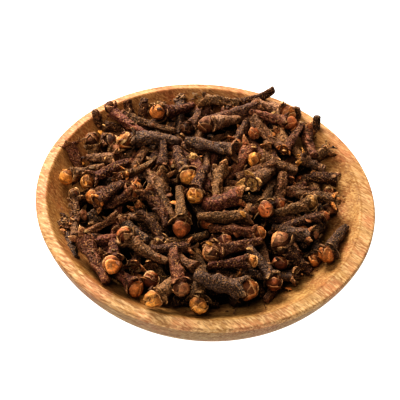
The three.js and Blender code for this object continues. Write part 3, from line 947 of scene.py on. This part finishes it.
def crumb_part(batch, kind, place):
    """A scrap of bud, lobe or stamen that lies about here."""
    tone = pick(CRUMB_TONES) * uniform(0.5, 1.1)
    heading = uniform(0, 2 * pi)
    slope = rng.normal(0, 0.25)
    ahead = np.array([cos(heading), sin(heading), slope])
    if kind == "thread":
        length = uniform(1.2, 2.6)
        thread_part(batch, place, ahead, length, radius=0.11, bend=rng.normal(0, 0.3), tone=tone)
        return
    # A size of each kind is drawn, so that a crumb's kind doesn't change the draws after it.
    sizes = {name: [uniform(*limits) for limits in rows] for name, rows in CRUMB_SIZES.items()}
    length, width, flat = sizes[kind]
    if kind == "petal":
        tone = linear(BUD_TONES[str(rng.choice(SCRAP_TONES))][0]) * uniform(0.35, 0.75)
    sides, rows = CRUMB_MESH
    share = np.linspace(-1, 1, rows)
    path = place + ahead * length / 2 * share[:, None]
    path[:, 2] -= CRUMB_DROOP * length * share ** 2
    lumps = uniform(0.8, 1.2, rows)
    radii = width * np.sqrt(np.maximum(1 - share ** 2, BLUNTNESS)) * lumps
    mottle = 1 + CRUMB_MOTTLE * ring_noise(rows, sides)
    batch.add(tube(path, radii, sides, flat), tone * mottle[:, :, None], BUD_FINISH)


def crumb_batch(heap):
    kinds = [kind for kind, count in CRUMBS.items() for _ in range(count)]
    angle = uniform(0, 2 * pi, len(kinds))
    reach = np.array([edge_radius(a) for a in angle]) * CRUMB_REACH
    distance = reach * np.sqrt(uniform(0, 1, len(kinds)))
    x, y = distance * np.cos(angle), distance * np.sin(angle)
    for middle_x, middle_y, spread, count in CLUMPS:
        kinds += [str(kind) for kind in rng.choice(CLUMP_KINDS, count)]
        x = np.concatenate([x, rng.normal(middle_x, spread, count)])
        y = np.concatenate([y, rng.normal(middle_y, spread, count)])
    inwards = np.minimum(1, CRUMB_LIMIT / np.hypot(x, y))
    x, y = x * inwards, y * inwards
    z = heap.ball_heights(x, y, np.full(len(kinds), CRUMB_RADIUS), heap.beads)
    batch = Batch()
    for kind, place in zip(kinds, np.column_stack([x, y, z])):
        crumb_part(batch, kind, place)
    return batch


# ---- Materials ----

class Nodes:
    """Short names for making a node material."""

    def __init__(self, name):
        self.material = bpy.data.materials.new(name)
        self.material.use_nodes = True
        self.tree = self.material.node_tree
        self.shader = self.tree.nodes["Principled BSDF"]

    def node(self, kind, inputs=None, **settings):
        made = self.tree.nodes.new("ShaderNode" + kind)
        for key, value in settings.items():
            setattr(made, key, value)
        for key, value in (inputs or {}).items():
            self.join(value, made.inputs[key])
        return made

    def join(self, value, socket):
        if isinstance(value, bpy.types.NodeSocket):
            self.tree.links.new(value, socket)
        else:
            socket.default_value = value

    def finish(self, **inputs):
        for name, value in inputs.items():
            self.join(value, self.shader.inputs[name.replace("_", " ")])
        return self.material

    def math(self, operation, a, b=0.0):
        return self.node("Math", {0: a, 1: b}, operation=operation).outputs[0]

    def vector_math(self, operation, a, other, output="Vector"):
        return self.node("VectorMath", {0: a, **other}, operation=operation).outputs[output]

    def scaled(self, colour, factor):
        return self.vector_math("SCALE", colour, {"Scale": factor})

    def product(self, a, b):
        return self.vector_math("MULTIPLY", a, {1: b})

    def dot(self, vector, direction):
        return self.vector_math("DOT_PRODUCT", vector, {1: direction}, "Value")

    def mixed(self, share, a, b):
        """Between two colours, which are sockets 6 and 7 of a Mix node, and its output 2."""
        return self.node("Mix", {0: share, 6: a, 7: b}, data_type="RGBA").outputs[2]

    def ranged(self, value, low, high, to_low, to_high):
        """A number from low to high, taken to the second range."""
        inputs = {0: value, 1: low, 2: high, 3: to_low, 4: to_high}
        return self.node("MapRange", inputs).outputs[0]

    def noise(self, vector, scale, detail, rough):
        inputs = {"Vector": vector, "Scale": scale, "Detail": detail, "Roughness": rough}
        return self.node("TexNoise", inputs).outputs["Fac"]

    def bump(self, height, strength, distance):
        inputs = {"Strength": strength, "Distance": distance, "Height": height}
        return self.node("Bump", inputs).outputs[0]

    def tint(self):
        return self.node("Attribute", attribute_name="tint").outputs["Color"]

    def place(self):
        return self.node("TexCoord").outputs["Object"]


def stem_material():
    """Dusty and pitted, with pale specks."""
    nodes = Nodes("clove_stem")
    place = nodes.place()
    grain = nodes.noise(place, scale=2250, detail=2, rough=0.6)
    specks = nodes.noise(place, scale=2600, detail=1, rough=0.6)
    pits = nodes.node("TexVoronoi", {"Vector": place, "Scale": 2400.0}).outputs["Distance"]
    grained = nodes.ranged(grain, 0.34, 0.66, 0.4, 1.58)
    shade = nodes.math("ADD", grained, nodes.ranged(pits, 0.1, 0.6, -0.15, 0.12))
    aged = nodes.scaled(nodes.tint(), shade)
    dusty = nodes.mixed(nodes.ranged(specks, 0.56, 0.66, 0.0, 0.75), aged, rgba(SPECK_TONE))
    wrinkles = nodes.noise(place, scale=1000, detail=1, rough=0.5)
    height = nodes.math("ADD", grain, nodes.math("MULTIPLY", pits, 0.8))
    height = nodes.math("ADD", height, nodes.math("MULTIPLY", wrinkles, 1.5))
    return nodes.finish(
        Base_Color=dusty,
        Roughness=nodes.ranged(grain, 0.3, 0.7, 0.75, 0.5),
        Normal=nodes.bump(height, strength=0.9, distance=0.0004),
        Specular_IOR_Level=0.3,
    )


def bud_material():
    """Smooth dry petals with a soft gloss."""
    nodes = Nodes("clove_bud")
    place = nodes.place()
    grain = nodes.noise(place, scale=2600, detail=3, rough=0.65)
    blotches = nodes.noise(place, scale=800, detail=2, rough=0.5)
    fine = nodes.ranged(grain, 0.32, 0.68, 0.72, 1.28)
    shade = nodes.math("MULTIPLY", fine, nodes.ranged(blotches, 0.35, 0.65, 0.72, 1.28))
    return nodes.finish(
        Base_Color=nodes.scaled(nodes.tint(), shade),
        Roughness=nodes.ranged(grain, 0.3, 0.7, 0.65, 0.48),
        Normal=nodes.bump(nodes.math("ADD", grain, blotches), strength=0.8, distance=0.0003),
        Specular_IOR_Level=0.35,
    )


def bed_material():
    # Near black, as painted shade for the deep gaps of the heap.
    nodes = Nodes("deep_cloves")
    grain = nodes.noise(nodes.place(), scale=900, detail=4, rough=0.5)
    colour = nodes.scaled(tuple(linear(BED_SHADE_TONE)), nodes.ranged(grain, 0.3, 0.7, 0.5, 1.6))
    return nodes.finish(Base_Color=colour, Roughness=0.95, Specular_IOR_Level=0.1)


GRAIN_HEADING = -32  # from +X, degrees
GRAIN_LEAN = 60  # of its layers from upright, degrees


def wood_material():
    """Growth layers, fibres and short open pores, all along the grain."""
    nodes = Nodes("turned_wood")
    tones = {name: rgba(tone) for name, tone in WOOD_TONES.items()}
    place = nodes.place()
    heading, lean = radians(GRAIN_HEADING), radians(GRAIN_LEAN)
    grain = Vector((cos(heading), sin(heading), 0))
    level = Vector((-grain.y, grain.x, 0))
    layer = level * cos(lean) - Vector((0, 0, sin(lean)))
    along, through = nodes.dot(place, grain), nodes.dot(place, layer)
    across = nodes.dot(place, grain.cross(layer))

    def drawn_out(long, wide):
        """The place, shrunk so that what is made on it is drawn out."""
        inputs = {0: nodes.math("MULTIPLY", along, long), 1: nodes.math("MULTIPLY", across, wide), 2: through}
        return nodes.node("CombineXYZ", inputs).outputs[0]

    layers = nodes.noise(drawn_out(0.06, 0.2), scale=420, detail=3, rough=0.6)
    strokes = nodes.noise(drawn_out(0.1, 0.6), scale=700, detail=2, rough=0.5)
    fibres = nodes.noise(drawn_out(0.2, 1.0), scale=1900, detail=2, rough=0.6)
    pores = nodes.noise(drawn_out(0.25, 1.0), scale=2300, detail=1, rough=0.4)
    patches = nodes.noise(place, scale=95, detail=2, rough=0.5)
    ground = nodes.mixed(nodes.ranged(layers, 0.36, 0.64, 0.0, 1.0), tones["golden"], tones["pale"])
    blushed = nodes.mixed(nodes.ranged(patches, 0.45, 0.62, 0.0, 0.75), ground, tones["pink"])
    stroked = nodes.scaled(blushed, nodes.ranged(strokes, 0.34, 0.66, 0.85, 1.1))
    flecked = nodes.mixed(nodes.ranged(fibres, 0.48, 0.62, 0.0, 0.7), stroked, tones["fleck"])
    open_pores = nodes.ranged(pores, 0.53, 0.64, 0.0, 0.5)
    wood = nodes.mixed(open_pores, flecked, tones["pore"])
    return nodes.finish(
        Base_Color=nodes.product(wood, nodes.tint()),
        Roughness=nodes.ranged(fibres, 0.3, 0.7, 0.65, 0.52),
        Normal=nodes.bump(nodes.math("SUBTRACT", fibres, open_pores), strength=0.3, distance=0.00012),
        Specular_IOR_Level=0.2,
    )


WHITE = (1, 1, 1, 1)
FLOOR_TONE = (0.3, 0.3, 0.3, 1)
FLOOR_GLOW = 0.72  # a backlit white sweep


def floor_material():
    nodes = Nodes("pale_floor")
    glow = {"Emission_Color": WHITE, "Emission_Strength": FLOOR_GLOW}
    return nodes.finish(Base_Color=FLOOR_TONE, Roughness=0.9, **glow)


# ---- Bowl ----

FACETS = 192  # round the bowl
FOOT_SHARES = (0.3, 0.7, 0.98)  # its rings
WALL_RINGS = 28
EDGE_RINGS = 6
LIP_RINGS = 5
HOLLOW_RINGS = 40
# Rings close beside the arris keep it sharp.
ARRIS_SHARE = 0.997
ARRIS_STEP = 0.06
INNER_ROUND = 0.3  # of the rim's inner edge
INNER_RINGS = 5
arris_height = WIDEST_HEIGHT - BAND_DROP


def wall_rows():
    """From the foot's middle up to the arris."""
    top_lean = radians(WALL_LEAN)
    foot_lean = asin(sin(top_lean) + arris_height / WALL_RADIUS)
    foot_radius = RIM_RADIUS - WALL_RADIUS * (cos(top_lean) - cos(foot_lean))
    rows = [(foot_radius * share, 0) for share in FOOT_SHARES]
    for share in [i / WALL_RINGS for i in range(WALL_RINGS)] + [ARRIS_SHARE]:
        lean = foot_lean + (top_lean - foot_lean) * share
        radius = RIM_RADIUS - WALL_RADIUS * (cos(top_lean) - cos(lean))
        rows.append((radius, arris_height - WALL_RADIUS * (sin(lean) - sin(top_lean))))
    return rows


def edge_rows():
    """The edge band and its rounded top, from upright to level."""
    rows = [(RIM_RADIUS, arris_height), (RIM_RADIUS, arris_height + ARRIS_STEP)]
    for i in range(EDGE_RINGS + 1):
        turn = pi / 2 * i / EDGE_RINGS
        radius = RIM_RADIUS - EDGE_ROUND * (1 - cos(turn))
        rows.append((radius, WIDEST_HEIGHT - EDGE_ROUND * (1 - sin(turn)) / 2))
    return rows


def hollow_rows():
    """From the rim's rounded inner edge to the middle of the hollow."""
    outer, inner = HOLLOW_RADIUS + INNER_ROUND, HOLLOW_RADIUS - INNER_ROUND
    inner_height = float(hollow_height(inner, 0))
    rows = []
    for i in range(INNER_RINGS):
        # A curve that leans on the edge.
        share = i / INNER_RINGS
        ends = (1 - share) ** 2, 2 * share * (1 - share), share ** 2
        radius = ends[0] * outer + ends[1] * HOLLOW_RADIUS + ends[2] * inner
        rows.append((radius, (ends[0] + ends[1]) * rim_height + ends[2] * inner_height))
    for i in range(HOLLOW_RINGS):
        radius = inner * (HOLLOW_RINGS - i) / HOLLOW_RINGS
        rows.append((radius, float(hollow_height(radius, 0))))
    return rows


def off_centre(rings):
    """Moves rings about the bowl's axis to the hollow's, and narrows them."""
    rings[:, :, 0] = rings[:, :, 0] * HOLLOW_OVAL + HOLLOW_SHIFT
    return rings


def wooden_bowl():
    wall, edge = wall_rows(), edge_rows()
    outside = turned(*np.array(wall + edge).T, FACETS)
    hollow = off_centre(turned(*np.array(hollow_rows()).T, FACETS))
    share = np.linspace(0, 1, LIP_RINGS + 2)[1:-1, None, None]
    rim = outside[-1] * (1 - share) + hollow[0] * share
    # Painted shade on the outer wall and in the hollow.
    painted_shades = [WALL_SHADE] * len(wall) + [RIM_SHADE] * (len(edge) + LIP_RINGS) + [HOLLOW_SHADE] * len(hollow)
    # Painted shade, growing away from the palest side.
    towards = np.cos(around_axis(FACETS) - radians(PALE_HEADING))
    side_shade = 1 - (1 - towards[:, None]) * np.array(SIDE_SHADE)
    batch = Batch()
    batch.add(np.concatenate([outside, rim, hollow]), np.array(painted_shades)[:, None] * side_shade)
    return batch.build("wooden_bowl", [wood_material()])


BED_RINGS = 24
BED_SIDES = 72
BED_DROP = 0.3  # below the cloves
BED_THINNEST = 0.1


def clove_bed():
    """A near-black mass of cloves under those that are made one by one, as painted shade for the deep gaps
    between them.
    """
    out = (np.arange(BED_RINGS) + 1) / BED_RINGS * (FLOOR_RADIUS - BED_DROP)
    below = hollow_height(out, GAP)
    above = FLOOR_TOP - floor_sphere + np.sqrt(floor_sphere ** 2 - out ** 2) - BED_DROP
    above = np.maximum(above, below + BED_THINNEST)
    rings = turned(np.concatenate([out, out[::-1]]), np.concatenate([below, above[::-1]]), BED_SIDES)
    batch = Batch()
    batch.add(off_centre(rings), linear(BED_SHADE_TONE))
    return batch.build("clove_bed", [bed_material()])


# ---- Scene ----

CLIP_START = 0.01  # metres


def make_camera():
    elevation = radians(ELEVATION)
    roll = radians(ROLL)
    level_right = Vector((1, 0, 0))
    level_up = Vector((0, sin(elevation), cos(elevation)))
    ahead = Vector((0, cos(elevation), -sin(elevation)))
    right = level_right * cos(roll) + level_up * sin(roll)
    up = level_up * cos(roll) - level_right * sin(roll)
    beside = (RIM_PIXEL[0] - FRAME_PIXELS / 2) / FOCAL_PIXELS
    above = (FRAME_PIXELS / 2 - RIM_PIXEL[1]) / FOCAL_PIXELS
    aim = (ahead - right * beside - up * above).normalized()
    right = (right - aim * right.dot(aim)).normalized()
    up = right.cross(aim)
    place = (Vector((0, 0, WIDEST_HEIGHT)) - ahead * DISTANCE) * MM
    lens = bpy.data.cameras.new("camera")
    lens.sensor_width = SENSOR_MM
    lens.lens = FOCAL_PIXELS / FRAME_PIXELS * SENSOR_MM
    lens.clip_start = CLIP_START
    camera = in_scene("camera", lens)
    turn = Matrix((right, up, -aim)).transposed().to_4x4()
    camera.matrix_world = Matrix.Translation(place) @ turn
    bpy.context.scene.camera = camera


WORLD_LIGHT = 0.12
# Two soft boxes, in metres.
SOFT_BOXES = {
    "behind": {"place": (-0.36, 0.58, 0.55), "power": 10.6},
    "in_front": {"place": (-0.22, -0.38, 0.78), "power": 3.4},
}
BOX_SIZE = 0.5
BOX_COLOUR = (1, 0.98, 0.95)
BOX_AIM = (0, 0, 0.02)
FLOOR_HALF = 3


def make_light():
    world = bpy.data.worlds.new("studio")
    bpy.context.scene.world = world
    world.use_nodes = True
    background = world.node_tree.nodes["Background"]
    background.inputs["Color"].default_value = WHITE
    background.inputs["Strength"].default_value = WORLD_LIGHT
    for name, box in SOFT_BOXES.items():
        light = bpy.data.lights.new(name, "AREA")
        light.energy = box["power"]
        light.size = BOX_SIZE
        light.color = BOX_COLOUR
        lamp = in_scene(name, light)
        lamp.location = box["place"]
        lamp.rotation_euler = (Vector(BOX_AIM) - Vector(box["place"])).to_track_quat("-Z", "Y").to_euler()
    bpy.context.scene.view_settings.view_transform = "Standard"
    bpy.context.scene.view_settings.look = "Very High Contrast"


def make_floor():
    corners = [(-FLOOR_HALF, -FLOOR_HALF, 0), (FLOOR_HALF, -FLOOR_HALF, 0)]
    corners += [(-x, -y, 0) for x, y, _ in corners]
    mesh = bpy.data.meshes.new("floor")
    mesh.from_pydata(corners, [], [(0, 1, 2, 3)])
    mesh.materials.append(floor_material())
    floor = in_scene("floor", mesh)
    floor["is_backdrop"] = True


def make_cloves():
    heap = lay_heap()
    skins = [stem_material(), bud_material()]
    pieces = [clove_bed(), crumb_batch(heap).build("clove_crumbs", skins)]
    for kind, batch in clove_batches(heap).items():
        pieces.append(batch.build(PIECE_NAMES[kind], skins))
    for piece in pieces:
        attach(piece, "root")
        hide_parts("cloves")


def make_bowl():
    bowl = wooden_bowl()
    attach(bowl, "root")
    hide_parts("bowl")


make_camera()
make_light()
make_floor()
make_bowl()
make_cloves()

sizes = {"cad": cad_bounds, "visual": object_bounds()}
{name: [list(corner) for corner in corners] for name, corners in sizes.items()}
